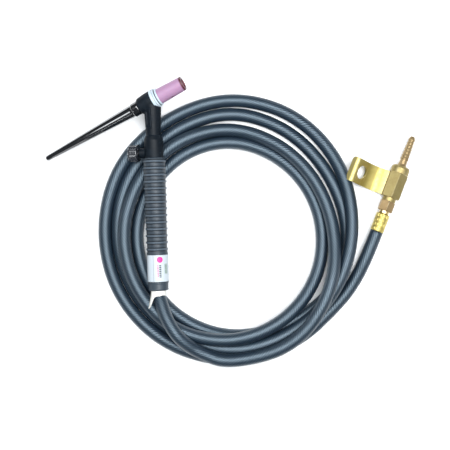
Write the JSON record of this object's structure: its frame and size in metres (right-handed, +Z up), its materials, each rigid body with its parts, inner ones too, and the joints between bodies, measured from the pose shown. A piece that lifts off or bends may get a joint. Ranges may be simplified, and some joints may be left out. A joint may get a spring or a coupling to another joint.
{
  "type": "tig welding torch",
  "caption": "Gas-valve TIG welding torch with ceramic nozzle, long back cap and ribbed handle, lying on its coiled rubber power hose with a brass hose-end adapter and bracket.",
  "frame": {"origin": "on the floor under the middle of the torch's own bounding box, without its hose and the hose's brass ends", "axes": "+Y along the handle from the hose end towards the head, within 2 degrees; +X towards the nozzle; +Z up from the floor that the torch and its coil lie on"},
  "size_m": [0.4612, 0.3562, 0.0562],
  "materials": {
    "pink_ceramic": "satin",
    "white_ptfe": "satin",
    "copper": "satin",
    "tungsten": "ground",
    "brass": "machined",
    "black_gloss": "gloss",
    "seal_rubber": "matte",
    "black_moulding": "satin",
    "grip_rubber": "satin",
    "black_plastic": "satin",
    "label_paper": "matte",
    "hose_rubber": "matte",
    "ferrule_brass": "bright, knurled",
    "nut_brass": "machined",
    "adapter_brass": "satin",
    "red_brass": "machined",
    "steel": "zinc plated"
  },
  "bodies": {
    "torch": {"cup_gasket": "white_ptfe", "collet_body": "copper", "collet": "copper", "head_core": "brass", "neck_tube": "copper", "head_cover": "black_moulding", "valve_body": "brass", "valve_housing": "black_moulding", "gland_nut": "brass", "handle_grip": "grip_rubber", "handle_end_ring": "black_plastic", "label_sleeve": "label_paper", "paper_wrap": "label_paper", "torch_nipple": "brass", "torch_ferrule": "ferrule_brass", "hose_lead": "hose_rubber", "hose_coil": "hose_rubber", "hose_tail": "hose_rubber", "hose_ferrule": "ferrule_brass", "hose_nipple": "brass", "adapter_body": "adapter_brass", "gas_barb": "red_brass", "lug_bracket": "adapter_brass"},
    "nozzle": {"nozzle": "pink_ceramic"},
    "electrode": {"electrode": "tungsten"},
    "cap_seal": {"back_cap_o_ring": "seal_rubber"},
    "back_cap": {"back_cap": "black_gloss"},
    "stem_seal": {"stem_o_ring": "seal_rubber"},
    "valve_knob": {"valve_stem": "brass", "valve_knob": "black_gloss", "knob_screw": "steel"},
    "union_nut": {"union_nut": "nut_brass"}
  },
  "joints": [
    {"name": "nozzle_turn", "type": "hinge", "parent": "torch", "child": "nozzle", "pos_m": [0.06438, 0.12348, 0.04247], "axis": [0.8689, 0.4426, 0.2216], "range_deg": [0, 360]},
    {"name": "electrode_slide", "type": "slide", "parent": "torch", "child": "electrode", "axis": [0.8689, 0.4426, 0.2216], "range_m": [-0.002, 0.012]},
    {"name": "cap_travel", "type": "slide", "parent": "torch", "child": "cap_seal", "axis": [-0.8689, -0.4426, -0.2216], "range_m": [0, 0.00635]},
    {"name": "cap_turn", "type": "hinge", "parent": "cap_seal", "child": "back_cap", "pos_m": [0.0404, 0.11126, 0.03636], "axis": [-0.8689, -0.4426, -0.2216], "range_deg": [0, 1800]},
    {"name": "valve_travel", "type": "slide", "parent": "torch", "child": "stem_seal", "axis": [-0.9733, -0.0226, -0.2282], "range_m": [0, 0.00105]},
    {"name": "valve_turn", "type": "hinge", "parent": "stem_seal", "child": "valve_knob", "pos_m": [0.02953, 0.05054, 0.03126], "axis": [-0.9733, -0.0226, -0.2282], "range_deg": [0, 540]},
    {"name": "union_nut_turn", "type": "hinge", "parent": "torch", "child": "union_nut", "pos_m": [0.33525, -0.01699, 0.0128], "axis": [0.3584, 0.9336, 0], "range_deg": [0, 360]}
  ],
  "couplings": [
    {"joint": "cap_travel", "follows": "cap_turn", "m_per_rad": 0.00020213},
    {"joint": "valve_travel", "follows": "valve_turn", "m_per_rad": 0.00011141}
  ]
}
